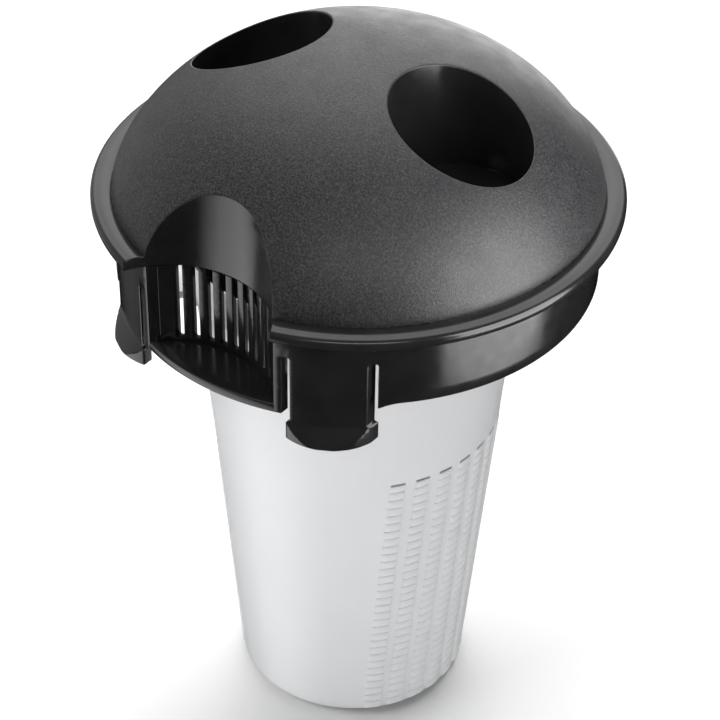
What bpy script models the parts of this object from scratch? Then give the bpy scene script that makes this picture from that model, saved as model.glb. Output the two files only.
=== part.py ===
"""Floating chlorine dispenser: a domed float head with an inlet bay and a slotted dosing basket under it.

Metres, +Z up. The origin is the centre of the basket's base, and the inlet bay faces -Y.
"""

import math

import bmesh
import bpy
from mathutils import Matrix, Vector

MM = 0.001
GAP = 0.3 * MM

# Head, heights measured from the widest level of the rolled lip
HEAD_Z = 236.0 * MM
DOME_R = 92.0 * MM
DOME_BASE_Z = 3.3 * MM
DOME_TOP_Z = 56.2 * MM
DOME_WALL = 2.4 * MM
DOME_EXPONENTS = (2.3, 1.45)
DOME_BOTTOM_Z = -2.3 * MM
SPIGOT_R = (85.3 * MM, 87.7 * MM)
SPIGOT_BOTTOM_Z = -6.0 * MM

# Rolled lip and the channel under it, as (radius, height) in millimetres from the groove outwards and back in
LIP_PROFILE = ((93.0, 4.0), (94.6, 4.45), (96.6, 4.15), (98.5, 3.1), (99.6, 1.7), (100.0, 0.0), (99.6, -2.3))
CHANNEL_PROFILE = ((98.2, -2.3), (98.4, -0.3), (97.5, 1.5), (95.6, 2.7), (93.8, 2.4), (92.4, 1.2), (87.7, 1.2))

# Finger wells
WELL_ANGLE = 89.0
WELL_DISTANCE = 45.5 * MM
WELL_R = 26.2 * MM
WELL_FLOOR_Z = 10.0 * MM
WELL_WALL = 2.2 * MM

# Inlet bay, a vertical cylinder cut into the front of the head
BAY_DISTANCE = 109.5 * MM
BAY_R = 36.8 * MM
BAY_WALL = 2.0 * MM
GRILLE_TOP_Z = DOME_BOTTOM_Z - GAP
GRILLE_WALL = 2.4 * MM
GRILLE_SLOT_BOTTOM_Z = -34.8 * MM
GRILLE_SLOT_W = 2.4 * MM
GRILLE_PITCH = 5.25 * MM
GRILLE_SLOTS = 9
FLOOR_TOP_Z = -36.3 * MM
FLOOR_BOTTOM_Z = -39.8 * MM

# Skirt, latch clips and basket seat
SKIRT_R = (88.1 * MM, 91.9 * MM)
SKIRT_TOP_Z = 0.9 * MM
SKIRT_BOTTOM_Z = -32.3 * MM
CUT_X = (32.0 * MM, 61.2 * MM)
CLIP_X = (34.7 * MM, 58.5 * MM)
CLIP_ROOT_Z = -14.3 * MM
CLIP_ROOT_GAP = 0.4 * MM
CLIP_BOTTOM_Z = -50.2 * MM
CLIP_ANGLE = 30.5
CLIP_HINGE_R = 90.0 * MM
FLARE_TOP_Z = -42.5 * MM
FLARE_OUT = 4.75 * MM
FLARE_R = 21.6 * MM
FLARE_X = (33.5 * MM, 59.5 * MM)
HOOK_R = 86.3 * MM
HOOK_Z = (-32.6 * MM, -29.9 * MM)
SEAT_R = (62.0 * MM, 69.5 * MM)
SEAT_Z = (-14.3 * MM, -11.6 * MM)
FIN_TOP_Z = SPIGOT_BOTTOM_Z - 0.6 * MM
FIN_W = 2.4 * MM
FIN_ANGLES = (-130.0, -90.0, -55.0, 55.0, 90.0, 130.0, 180.0)
SCREW_ANGLES = (-130.0, -55.0, 55.0, 130.0)
SCREW_DISTANCE = 78.0 * MM

# Float chamber
PLATE_R = 84.9 * MM
PLATE_Z = (-0.5 * MM, 1.7 * MM)
FOAM_BOTTOM_Z = 2.4 * MM
FOAM_CLEARANCE = 1.0 * MM
FOAM_R = 72.5 * MM

# Swing-down collar and its hinge
COLLAR_R = (67.4 * MM, 69.6 * MM)
COLLAR_Z = (-31.0 * MM, SEAT_Z[0] - GAP)
LEDGE_R = 65.3 * MM
LEDGE_Z = (-24.2 * MM, -21.6 * MM)
TONGUE_R = 86.0 * MM
TONGUE_Z = (-29.6 * MM, -26.4 * MM)
TONGUE_W = 13.0 * MM
HINGE_Y = 81.0 * MM
HINGE_Z = -22.0 * MM
PIN_R = 1.5 * MM
PIN_HOLE_R = 1.8 * MM
BARREL_R = 3.6 * MM
BARREL_HALF = 7.0 * MM
EAR_X = (7.6 * MM, 10.2 * MM)

# Basket, heights measured from its base
BASKET_STEP_Z = 134.3 * MM
BASKET_STEP_R = 57.3 * MM
BASKET_STEP = 0.4 * MM
BASKET_TAPER = 0.0829
BASKET_TOP_Z = HEAD_Z - 15.6 * MM
BASKET_FOOT_R = 46.7 * MM
BASKET_EDGE = 6.3 * MM
BASKET_WALL = 2.0 * MM
LUG_R = 67.1 * MM
LUG_Z = (-21.3 * MM, -18.6 * MM)

SEGMENTS = 64

COLOURS = {
    "grained_black": ((0.030, 0.031, 0.033, 1), 0.55),
    "gloss_black": ((0.014, 0.014, 0.015, 1), 0.25),
    "foam_white": ((0.80, 0.80, 0.78, 1), 0.9),
    "inner_grey": ((0.10, 0.10, 0.11, 1), 0.45),
    "milky_white": ((0.78, 0.80, 0.81, 1), 0.35),
    "steel": ((0.60, 0.60, 0.61, 1), 0.30),
}
_materials = {}


def clear_scene():
    for obj in list(bpy.data.objects):
        bpy.data.objects.remove(obj)


def make_collection(name):
    collection = bpy.data.collections.new(name)
    bpy.context.scene.collection.children.link(collection)
    return collection


def material(name):
    if name not in _materials:
        colour, roughness = COLOURS[name]
        mat = bpy.data.materials.new(name)
        mat.use_nodes = True
        shader = mat.node_tree.nodes["Principled BSDF"]
        shader.inputs["Base Color"].default_value = colour
        shader.inputs["Roughness"].default_value = roughness
        shader.inputs["Metallic"].default_value = 1.0 if name == "steel" else 0.0
        _materials[name] = mat
    return _materials[name]


def on_circle(radius, degrees, z=0.0):
    """A point at the given angle from -Y, turning towards +X."""
    angle = math.radians(degrees)
    return Vector((radius * math.sin(angle), -radius * math.cos(angle), z))


def link(obj, cutter=False):
    (CUTTERS if cutter else PARTS).objects.link(obj)
    if cutter:
        obj.hide_render = True
        obj.display_type = "WIRE"
    return obj


def finish_part(obj, slot, pivot=None):
    """Gives a part its material and, when it moves, a parent empty on its joint's axis."""
    obj.data.materials.append(material(slot))
    if pivot is not None:
        empty = bpy.data.objects.new(f"{obj.name}_pivot", None)
        PARTS.objects.link(empty)
        empty.location = pivot
        obj.parent = empty
        obj.location = -Vector(pivot)
    return obj


def turned(name, profile, cutter=False, segments=SEGMENTS):
    """A solid of revolution about Z from (radius, z) points that run down the outer side."""
    mesh = bpy.data.meshes.new(name)
    verts = [(r, 0.0, z) for r, z in profile]
    edges = [(i, i + 1) for i in range(len(verts) - 1)]
    if profile[0][0] > 0.0:
        edges.append((len(verts) - 1, 0))
    mesh.from_pydata(verts, edges, [])
    obj = link(bpy.data.objects.new(name, mesh), cutter)
    screw = obj.modifiers.new("Screw", "SCREW")
    screw.axis = "Z"
    screw.steps = segments
    screw.render_steps = segments
    screw.use_merge_vertices = True
    screw.merge_threshold = 0.00001
    screw.use_smooth_shade = True
    return obj


def primitive(name, build, matrix, cutter):
    mesh = bpy.data.meshes.new(name)
    bm = bmesh.new()
    build(bm)
    bmesh.ops.transform(bm, matrix=matrix, verts=bm.verts)
    bm.to_mesh(mesh)
    bm.free()
    return link(bpy.data.objects.new(name, mesh), cutter)


def cylinder(name, radius, z_range, centre=(0.0, 0.0), segments=48, cutter=True, turn=None):
    """A cylinder along Z, or along another axis when turn is a rotation matrix."""
    height = z_range[1] - z_range[0]
    matrix = Matrix.Translation((centre[0], centre[1], (z_range[0] + z_range[1]) / 2))
    if turn is not None:
        matrix = turn

    def build(bm):
        bmesh.ops.create_cone(
            bm, cap_ends=True, segments=segments, radius1=radius, radius2=radius, depth=height
        )

    return primitive(name, build, matrix, cutter)


def box(name, low, high, degrees=0.0, cutter=True):
    """A box between two corners, turned about Z by the given angle."""
    low = Vector(low)
    high = Vector(high)
    size = high - low
    matrix = (
        Matrix.Rotation(math.radians(degrees), 4, "Z")
        @ Matrix.Translation((low + high) / 2)
        @ Matrix.Diagonal((size.x, size.y, size.z, 1.0))
    )
    return primitive(name, lambda bm: bmesh.ops.create_cube(bm, size=1.0), matrix, cutter)


def boolean(obj, other, operation="DIFFERENCE"):
    modifier = obj.modifiers.new(operation.title(), "BOOLEAN")
    modifier.operation = operation
    modifier.solver = "EXACT"
    modifier.object = other
    return obj


def dome_profile(inset, steps):
    """The dome's outline from its top to its base, moved in by inset."""
    power_r, power_z = DOME_EXPONENTS
    reach = DOME_R - inset
    rise = DOME_TOP_Z - DOME_BASE_Z - inset
    points = []
    for i in range(steps + 1):
        r = reach * math.sin(math.pi / 2 * i / steps)
        z = DOME_BASE_Z + rise * max(0.0, 1.0 - (r / reach) ** power_r) ** (1.0 / power_z)
        points.append((r, HEAD_Z + z))
    return points


def lifted(points):
    return [(r * MM, HEAD_Z + z * MM) for r, z in points]


def wells(name, radius, floor_z):
    """Cylinders for both finger wells."""
    for side, label in ((-1, "left"), (1, "right")):
        spot = on_circle(WELL_DISTANCE, side * WELL_ANGLE)
        yield cylinder(f"{name}_{label}", radius, (HEAD_Z + floor_z, HEAD_Z + 0.08), spot.xy, 48)


def bay_cylinder(name, radius, z_range):
    heights = (HEAD_Z + z_range[0], HEAD_Z + z_range[1])
    return cylinder(name, radius, heights, (0.0, -BAY_DISTANCE), 80)


def screw_spots():
    return [on_circle(SCREW_DISTANCE, angle).xy for angle in SCREW_ANGLES]


def make_dome_cover():
    """Thin dome with a rolled hollow lip, two finger wells and the upper wall of the bay."""
    spigot = [
        (SPIGOT_R[1], HEAD_Z + SPIGOT_BOTTOM_Z),
        (SPIGOT_R[0], HEAD_Z + SPIGOT_BOTTOM_Z),
        (SPIGOT_R[0], HEAD_Z + DOME_BOTTOM_Z),
        (0.0, HEAD_Z + DOME_BOTTOM_Z),
    ]
    lip = lifted(LIP_PROFILE + CHANNEL_PROFILE)
    dome = turned("dome_cover", dome_profile(0.0, 12) + lip + spigot)
    hollow = turned(
        "dome_hollow",
        dome_profile(DOME_WALL, 8)[:-1]
        + [(SPIGOT_R[0], HEAD_Z + 9.0 * MM), (SPIGOT_R[0], HEAD_Z - 0.02), (0.0, HEAD_Z - 0.02)],
        cutter=True,
    )
    boolean(hollow, bay_cylinder("hollow_bay", BAY_R + BAY_WALL, (-0.03, 0.08)))
    for solid in wells("hollow_well", WELL_R + WELL_WALL, WELL_FLOOR_Z - WELL_WALL):
        boolean(hollow, solid)
    for i, spot in enumerate(screw_spots()):
        boss = cylinder(f"hollow_boss_{i}", 4.0 * MM, (HEAD_Z + 2.0 * MM, HEAD_Z + 0.05), spot, 16)
        boolean(hollow, boss)
    boolean(dome, hollow)
    boolean(dome, bay_cylinder("dome_bay", BAY_R, (-0.03, 0.08)))
    boolean(dome, bay_cylinder("spigot_relief", BAY_R + BAY_WALL + 2.0 * MM, (-0.03, DOME_BOTTOM_Z)))
    for solid in wells("well", WELL_R, WELL_FLOOR_Z):
        boolean(dome, solid)
    for i, spot in enumerate(screw_spots()):
        boolean(dome, cylinder(f"pilot_{i}", 1.7 * MM, (HEAD_Z, HEAD_Z + 14.0 * MM), spot, 12))
    return finish_part(dome, "grained_black")


def make_float_plate():
    """Disc that closes the float chamber from below."""
    plate = turned(
        "float_plate",
        [
            (0.0, HEAD_Z + PLATE_Z[1]),
            (PLATE_R, HEAD_Z + PLATE_Z[1]),
            (PLATE_R, HEAD_Z + PLATE_Z[0]),
            (0.0, HEAD_Z + PLATE_Z[0]),
        ],
    )
    boolean(plate, bay_cylinder("plate_bay", BAY_R + GRILLE_WALL + GAP, (-0.03, 0.03)))
    for i, spot in enumerate(screw_spots()):
        boolean(plate, cylinder(f"plate_hole_{i}", 2.0 * MM, (HEAD_Z - 0.01, HEAD_Z + 0.01), spot, 16))
    return finish_part(plate, "inner_grey")


def make_foam(side, label):
    """Half of the float block, bored for a finger well."""
    foam = turned(
        f"float_foam_{label}",
        [p for p in dome_profile(DOME_WALL + FOAM_CLEARANCE, 8) if p[0] < FOAM_R]
        + [(FOAM_R, HEAD_Z + 22.0 * MM), (FOAM_R, HEAD_Z + FOAM_BOTTOM_Z), (0.0, HEAD_Z + FOAM_BOTTOM_Z)],
        segments=48,
    )
    boolean(foam, bay_cylinder(f"foam_bay_{label}", BAY_R + BAY_WALL + FOAM_CLEARANCE, (-0.03, 0.08)))
    for solid in wells(f"foam_well_{label}", WELL_R + WELL_WALL + FOAM_CLEARANCE, -0.02):
        boolean(foam, solid)
    reach = side * 0.12
    half = box(
        f"foam_half_{label}",
        (min(side * GAP, reach), -0.12, HEAD_Z - 0.02),
        (max(side * GAP, reach), 0.12, HEAD_Z + 0.08),
    )
    boolean(foam, half, "INTERSECT")
    return finish_part(foam, "foam_white")


def make_base_ring():
    """Skirt with the bay's floor and posts, the basket seat on its fins, and the hinge ears."""
    r_in, r_out = SKIRT_R
    ring = turned(
        "base_ring",
        [
            (r_out, HEAD_Z + SKIRT_TOP_Z),
            (r_out, HEAD_Z + FLOOR_BOTTOM_Z),
            (r_in, HEAD_Z + FLOOR_BOTTOM_Z),
            (r_in, HEAD_Z + SKIRT_TOP_Z),
        ],
        segments=96,
    )
    below = cylinder("below_skirt", 0.12, (HEAD_Z - 0.08, HEAD_Z + SKIRT_BOTTOM_Z))
    keep = box("keep_posts", (-CUT_X[0], -0.13, HEAD_Z - 0.09), (CUT_X[0], -0.07, HEAD_Z))
    boolean(below, keep)
    boolean(ring, below)
    for side, label in ((-1, "left"), (1, "right")):
        edges = sorted((side * CUT_X[0], side * CUT_X[1]))
        cut = box(
            f"clip_cut_{label}",
            (edges[0], -0.12, HEAD_Z - 0.08),
            (edges[1], -0.055, HEAD_Z + CLIP_ROOT_Z),
        )
        boolean(ring, cut)
    seat = turned(
        "seat_ring",
        [
            (SEAT_R[1], HEAD_Z + SEAT_Z[1]),
            (SEAT_R[1], HEAD_Z + SEAT_Z[0]),
            (SEAT_R[0], HEAD_Z + SEAT_Z[0]),
            (SEAT_R[0], HEAD_Z + SEAT_Z[1]),
        ],
        cutter=True,
    )
    boolean(ring, seat, "UNION")
    for i, angle in enumerate(FIN_ANGLES):
        fin = box(
            f"fin_{i}",
            (-FIN_W / 2, -89.5 * MM, HEAD_Z + SEAT_Z[0] + 0.1 * MM),
            (FIN_W / 2, -SEAT_R[0] - 1.0 * MM, HEAD_Z + FIN_TOP_Z),
            angle,
        )
        boolean(ring, fin, "UNION")
    for i, spot in enumerate(screw_spots()):
        boss = cylinder(f"ring_boss_{i}", 4.5 * MM, (HEAD_Z - 14.0 * MM, HEAD_Z - 1.0 * MM), spot, 16)
        boolean(ring, boss, "UNION")
    for side in (-1, 1):
        edges = sorted((side * EAR_X[0], side * EAR_X[1]))
        ear = box(
            f"ear_{side}",
            (edges[0], HINGE_Y - 4.2 * MM, HEAD_Z + HINGE_Z - 4.2 * MM),
            (edges[1], 89.0 * MM, HEAD_Z + FIN_TOP_Z),
        )
        boolean(ring, ear, "UNION")
    floor = bay_cylinder("bay_floor", BAY_R + GRILLE_WALL + 0.4 * MM, (FLOOR_BOTTOM_Z, FLOOR_TOP_Z))
    disc = cylinder("floor_disc", r_out - 0.05 * MM, (HEAD_Z - 0.06, HEAD_Z), segments=96)
    boolean(floor, disc, "INTERSECT")
    boolean(ring, bay_cylinder("ring_bay", BAY_R, (FLOOR_TOP_Z, 0.02)))
    boolean(ring, floor, "UNION")
    for i, spot in enumerate(screw_spots()):
        boolean(ring, cylinder(f"ring_hole_{i}", 2.0 * MM, (HEAD_Z - 0.02, HEAD_Z), spot, 16))
    boolean(ring, hinge_cylinder("ear_holes", PIN_HOLE_R, 0.03))
    return finish_part(ring, "gloss_black")


def hinge_cylinder(name, radius, length, cutter=True, segments=20):
    """A cylinder on the hinge line at the back of the head."""
    turn = Matrix.Translation((0.0, HINGE_Y, HEAD_Z + HINGE_Z)) @ Matrix.Rotation(math.pi / 2, 4, "Y")
    return cylinder(name, radius, (0.0, length), segments=segments, cutter=cutter, turn=turn)


def make_inlet_grille():
    """Curved slotted wall at the back of the bay, standing on the bay floor."""
    z_low = HEAD_Z + FLOOR_TOP_Z + GAP
    z_high = HEAD_Z + GRILLE_TOP_Z
    grille = turned(
        "inlet_grille",
        [(BAY_R + GRILLE_WALL, z_high), (BAY_R + GRILLE_WALL, z_low), (BAY_R, z_low), (BAY_R, z_high)],
        segments=96,
    )
    grille.location = (0.0, -BAY_DISTANCE, 0.0)
    inside = cylinder("grille_limit", SKIRT_R[0] - GAP, (HEAD_Z - 0.05, HEAD_Z + 0.01), segments=96)
    boolean(grille, inside, "INTERSECT")
    for i in range(GRILLE_SLOTS):
        offset = (i - (GRILLE_SLOTS - 1) / 2) * GRILLE_PITCH
        edges = (offset - GRILLE_SLOT_W / 2, offset + GRILLE_SLOT_W / 2)
        z_slot = HEAD_Z + GRILLE_SLOT_BOTTOM_Z
        slot = box(f"slot_{i}", (edges[0], -BAY_DISTANCE, z_slot), (edges[1], -0.06, z_slot + 0.04))
        boolean(grille, slot)
    return finish_part(grille, "gloss_black")


def make_latch_clip(side, label):
    """Sprung strip of the skirt with a flared thumb grip and a hook behind it."""
    r_in, r_out = SKIRT_R
    z_top = HEAD_Z + CLIP_ROOT_Z - CLIP_ROOT_GAP
    z_bottom = HEAD_Z + CLIP_BOTTOM_Z
    z_flare = HEAD_Z + FLARE_TOP_Z
    clip = turned(
        f"latch_clip_{label}",
        [
            (r_out, z_top),
            (r_out, z_flare),
            (r_out + FLARE_OUT, z_bottom),
            (r_in, z_bottom),
            (r_in, HEAD_Z + HOOK_Z[0]),
            (HOOK_R, HEAD_Z + HOOK_Z[0] + 1.2 * MM),
            (HOOK_R, HEAD_Z + HOOK_Z[1]),
            (r_in, HEAD_Z + HOOK_Z[1]),
            (r_in, z_top),
        ],
        segments=96,
    )
    edges = sorted((side * CLIP_X[0], side * CLIP_X[1]))
    outline = box(
        f"clip_strip_{label}",
        (edges[0], -0.12, z_flare + 0.2 * MM),
        (edges[1], -0.05, z_top + 0.01),
    )
    spot = on_circle(DOME_R + FLARE_OUT - FLARE_R, side * CLIP_ANGLE)
    grip = cylinder(f"clip_grip_{label}", FLARE_R, (z_bottom - 0.01, z_flare + 0.4 * MM), spot.xy, 64)
    edges = sorted((side * FLARE_X[0], side * FLARE_X[1]))
    width = box(f"grip_width_{label}", (edges[0], -0.12, z_bottom - 0.02), (edges[1], -0.05, z_flare + 0.01))
    boolean(grip, width, "INTERSECT")
    boolean(outline, grip, "UNION")
    boolean(clip, outline, "INTERSECT")
    hinge = on_circle(CLIP_HINGE_R, side * CLIP_ANGLE, HEAD_Z + CLIP_ROOT_Z)
    return finish_part(clip, "gloss_black", hinge)


def make_screw(index, spot):
    """Pan-head screw that clamps the ring and the float plate to the dome."""
    z_seat = HEAD_Z + SEAT_Z[0] - GAP
    head_r, shaft_r, head_h = 3.4 * MM, 1.4 * MM, 2.2 * MM
    screw = turned(
        f"ring_screw_{index}",
        [
            (0.0, HEAD_Z + 12.0 * MM),
            (shaft_r * 0.6, HEAD_Z + 12.0 * MM),
            (shaft_r, HEAD_Z + 11.0 * MM),
            (shaft_r, z_seat),
            (head_r, z_seat),
            (head_r, z_seat - head_h * 0.6),
            (head_r * 0.75, z_seat - head_h),
            (0.0, z_seat - head_h),
        ],
        segments=16,
    )
    screw.location = (spot[0], spot[1], 0.0)
    for half_x, half_y in ((2.0 * MM, 0.4 * MM), (0.4 * MM, 2.0 * MM)):
        slot = box(
            f"drive_{index}_{half_x:.4f}",
            (-half_x, -half_y, z_seat - 0.01),
            (half_x, half_y, z_seat - 1.2 * MM),
        )
        slot.location = screw.location
        boolean(screw, slot)
    return finish_part(screw, "steel")


def sector(name, r_range, z_range, degrees, half_width):
    """A short arc of a ring, as a cutter or an addition."""
    arc = turned(
        name,
        [
            (r_range[1], HEAD_Z + z_range[1]),
            (r_range[1], HEAD_Z + z_range[0]),
            (r_range[0], HEAD_Z + z_range[0]),
            (r_range[0], HEAD_Z + z_range[1]),
        ],
        cutter=True,
        segments=60,
    )
    keep = box(
        f"{name}_keep",
        (-half_width, -0.09, HEAD_Z - 0.05),
        (half_width, 0.0, HEAD_Z),
        degrees,
    )
    return boolean(arc, keep, "INTERSECT")


def make_basket_collar():
    """Ring that carries the basket, with tongues for the clips and a barrel on the rear hinge."""
    r_in, r_out = COLLAR_R
    collar = turned(
        "basket_collar",
        [
            (r_out, HEAD_Z + COLLAR_Z[1]),
            (r_out, HEAD_Z + COLLAR_Z[0]),
            (r_in, HEAD_Z + COLLAR_Z[0]),
            (r_in, HEAD_Z + COLLAR_Z[1]),
        ],
    )
    for i in range(3):
        ledge = sector(f"ledge_{i}", (LEDGE_R, r_in + 0.8 * MM), LEDGE_Z, 60.0 + 120.0 * i, 27.0 * MM)
        boolean(collar, ledge, "UNION")
    for side, label in ((-1, "left"), (1, "right")):
        tongue = box(
            f"tongue_{label}",
            (-TONGUE_W / 2, -TONGUE_R, HEAD_Z + TONGUE_Z[0]),
            (TONGUE_W / 2, -r_in - 1.0 * MM, HEAD_Z + TONGUE_Z[1]),
            side * CLIP_ANGLE,
        )
        boolean(collar, tongue, "UNION")
    arm = box(
        "hinge_arm",
        (-BARREL_HALF + 1.0 * MM, r_in + 1.0 * MM, HEAD_Z + HINGE_Z - 2.4 * MM),
        (BARREL_HALF - 1.0 * MM, HINGE_Y, HEAD_Z + HINGE_Z + 2.4 * MM),
    )
    boolean(collar, arm, "UNION")
    boolean(collar, hinge_cylinder("barrel", BARREL_R, 2 * BARREL_HALF, segments=28), "UNION")
    boolean(collar, hinge_cylinder("barrel_hole", PIN_HOLE_R, 0.03))
    return finish_part(collar, "milky_white", (0.0, HINGE_Y, HEAD_Z + HINGE_Z))


def make_hinge_pin():
    pin = hinge_cylinder("hinge_pin", PIN_R, 22.0 * MM, cutter=False)
    bevel = pin.modifiers.new("Bevel", "BEVEL")
    bevel.width = 0.4 * MM
    bevel.segments = 2
    bevel.limit_method = "ANGLE"
    return finish_part(pin, "steel")


def basket_r(z):
    """Outer radius of the basket's tapered wall at height z."""
    step = BASKET_STEP if z > BASKET_STEP_Z else 0.0
    return BASKET_STEP_R + step + BASKET_TAPER * (z - BASKET_STEP_Z)


def make_basket():
    """Tapered cup with a rounded base edge, a shallow step and three twist-lock lugs."""
    corner = []
    for i in range(5):
        angle = math.pi / 2 * i / 4
        reach = BASKET_FOOT_R - BASKET_EDGE
        corner.append((reach + BASKET_EDGE * math.cos(angle), BASKET_EDGE * (1 - math.sin(angle))))
    outer = [
        (basket_r(BASKET_TOP_Z), BASKET_TOP_Z),
        (basket_r(BASKET_STEP_Z + 0.2 * MM), BASKET_STEP_Z + 0.2 * MM),
        (basket_r(BASKET_STEP_Z), BASKET_STEP_Z - 0.2 * MM),
    ]
    basket = turned("basket", [(0.0, BASKET_TOP_Z)] + outer + corner + [(0.0, 0.0)])
    hollow = turned(
        "basket_hollow",
        [
            (0.0, BASKET_TOP_Z + 0.01),
            (basket_r(BASKET_TOP_Z) - BASKET_WALL + BASKET_TAPER * 0.01, BASKET_TOP_Z + 0.01),
            (BASKET_FOOT_R - BASKET_WALL, BASKET_EDGE),
            (BASKET_FOOT_R - 3.4 * MM, 3.6 * MM),
            (BASKET_FOOT_R - BASKET_EDGE, BASKET_WALL),
            (0.0, BASKET_WALL),
        ],
        cutter=True,
    )
    for i in range(3):
        lug = sector(f"lug_{i}", (58.0 * MM, LUG_R), LUG_Z, 60.0 + 120.0 * i, 20.0 * MM)
        boolean(basket, lug, "UNION")
    boolean(basket, hollow)
    return finish_part(basket, "milky_white")


clear_scene()
PARTS = make_collection("floating_chlorine_dispenser")
CUTTERS = make_collection("cutters")

make_dome_cover()
make_float_plate()
make_base_ring()
make_inlet_grille()
for clip_side, clip_label in ((-1, "left"), (1, "right")):
    make_foam(clip_side, clip_label)
    make_latch_clip(clip_side, clip_label)
for screw_index, screw_spot in enumerate(screw_spots(), start=1):
    make_screw(screw_index, screw_spot)
make_basket_collar()
make_hinge_pin()
make_basket()
bpy.context.view_layer.update()
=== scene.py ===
# Look model of the floating chlorine dispenser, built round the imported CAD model.
import math
from collections import namedtuple

import bmesh
import bpy
from mathutils import Matrix, Vector
from mathutils.geometry import delaunay_2d_cdt
from mathutils.kdtree import KDTree


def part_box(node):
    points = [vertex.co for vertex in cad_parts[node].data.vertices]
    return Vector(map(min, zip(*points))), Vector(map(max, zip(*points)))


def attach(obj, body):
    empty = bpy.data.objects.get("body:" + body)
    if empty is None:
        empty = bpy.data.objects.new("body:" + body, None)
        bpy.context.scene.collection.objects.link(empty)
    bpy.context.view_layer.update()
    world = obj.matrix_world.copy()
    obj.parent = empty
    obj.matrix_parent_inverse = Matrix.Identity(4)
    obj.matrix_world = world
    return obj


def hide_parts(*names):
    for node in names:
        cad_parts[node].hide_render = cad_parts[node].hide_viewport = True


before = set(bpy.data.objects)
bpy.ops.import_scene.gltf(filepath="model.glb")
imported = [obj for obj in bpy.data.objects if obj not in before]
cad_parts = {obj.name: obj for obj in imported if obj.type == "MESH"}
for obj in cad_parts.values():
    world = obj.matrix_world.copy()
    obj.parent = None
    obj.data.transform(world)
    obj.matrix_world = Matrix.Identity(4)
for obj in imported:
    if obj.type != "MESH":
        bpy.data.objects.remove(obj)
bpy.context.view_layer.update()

# Lengths are in millimetres up to the moment a mesh is made. Heights named *_Z are measured from the lip's
# widest level, and angles run from -Y towards +X.
MM = 0.001
dome_low, dome_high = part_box("dome_cover")
ring_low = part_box("base_ring")[0]
basket_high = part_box("basket")[1]

# Dome and lip
LIP_R = dome_high.x / MM
DOME_TOP_Z = 56.2
DOME_BASE_Z = 2.2
DOME_RISE = DOME_TOP_Z - DOME_BASE_Z
HEAD_Z = dome_high.z / MM - DOME_TOP_Z
DOME_R = LIP_R - 8.0
DOME_POWER_R, DOME_POWER_Z = 2.3, 1.45
DOME_WALL = 2.4
LIP_INNER_Z = 1.9
CREST_R = LIP_R - 5.2
CREST_Z = 2.35
ROLL_R = LIP_R - 2.1
ROLL_Z = 1.85
LIP_BOTTOM_Z = -2.3
SPIGOT_R = (85.3, 87.7)
SPIGOT_BOTTOM_Z = dome_low.z / MM - HEAD_Z
LIP_SIDE = (
    (LIP_R, -1.3), (LIP_R - 0.15, -1.9), (LIP_R - 0.5, LIP_BOTTOM_Z), (LIP_R - 0.5, SPIGOT_BOTTOM_Z),
)
LIP_STEPS = 400
FINE_R = 84.0  # Rings outside this radius have as many corners as the lip
RIM_ROUND = 0.5
LIP_END = 1.6  # Thickness of the lip's end beside the bay

# Finger wells
WELL_ANGLE = 89.0
WELL_DISTANCE = 45.5
WELL_R = 26.2
WELL_WALL = 2.2
WELL_FLOOR_Z = 10.0
WELL_ROUND = 0.6
WELL_STEPS = 144

# Inlet bay
BAY_DISTANCE = 109.5
BAY_CENTRE = Vector((0.0, -BAY_DISTANCE))
BAY_R = 36.8
BAY_WALL = 2.0
NOTCH_R = BAY_R + LIP_END + 0.2  # Where the skirt rises past the lip's end
FLOOR_Z = -36.3
FLOOR_BOTTOM_Z = ring_low.z / MM - HEAD_Z
GRILLE_TOP_Z = LIP_BOTTOM_Z - 0.3
GRILLE_WALL = 2.4
GRILLE_SLOT_BOTTOM_Z = -34.8
GRILLE_SLOT_W = 2.4
GRILLE_PITCH = 5.25
GRILLE_SLOTS = 9

# Skirt, screws and clips
SKIRT_OUT = 91.9
SKIRT_IN = 88.1
SKIRT_TOP_Z = 0.6
SKIRT_BOTTOM_Z = -32.3
CORNER_BOTTOM_Z = -34.2
CORNER_END_ANGLE = 47.0
RING_EDGE = 0.4
GRILLE_END_R = SKIRT_IN - 0.04
SCREW_DISTANCE = 78.0
SCREW_ANGLES = (-130.0, -55.0, 55.0, 130.0)
CUT_X = (32.0, 61.2)
CLIP_X = (34.7, 58.5)
CLIP_ROOT_Z = -14.3
CLIP_BOTTOM_Z = -50.2
CLIP_ANGLE = 30.5
FLARE_Z = -42.5
FLARE_OUT = 4.75
FLARE_R = 21.6
FLARE_X = (33.5, 59.5)

# Basket, whose heights are measured from its base
STEP_Z = 134.15
STEP_R = 57.3
STEP = 0.4
TAPER = 0.0829
BASKET_TOP = basket_high.z / MM
FOOT_R = 46.7
FOOT_ROUND = 6.3
BASKET_WALL = 2.0
COLUMNS = 8
COLUMN_PITCH = 10.3  # Degrees, at the top slot
COLUMN_SPREAD = 0.17  # How much further apart the columns are at the bottom
ROWS = 31
ROW_PITCH = 4.25
FIRST_SLOT = 135.3
FIRST_SLOT_H = 1.1
SLOT_H = 0.5
PAD_OUT = 0.75
PAD_W = 6.0
PAD_W_GROWTH = 1.2


# Materials

def new_material(name, colour, roughness, **inputs):
    """A Principled material with its uniform values set directly on the shader."""
    mat = bpy.data.materials.new(name)
    mat.use_nodes = True
    shader = mat.node_tree.nodes["Principled BSDF"]
    shader.inputs["Base Color"].default_value = (*colour, 1.0)
    shader.inputs["Roughness"].default_value = roughness
    for key, value in inputs.items():
        shader.inputs[key.replace("_", " ")].default_value = value
    return mat


def node(mat, kind, **values):
    made = mat.node_tree.nodes.new(kind)
    for key, value in values.items():
        if key in made.inputs:
            made.inputs[key].default_value = value
        else:
            setattr(made, key.lower(), value)
    return made


def link(mat, source, target):
    mat.node_tree.links.new(source, target)


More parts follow.
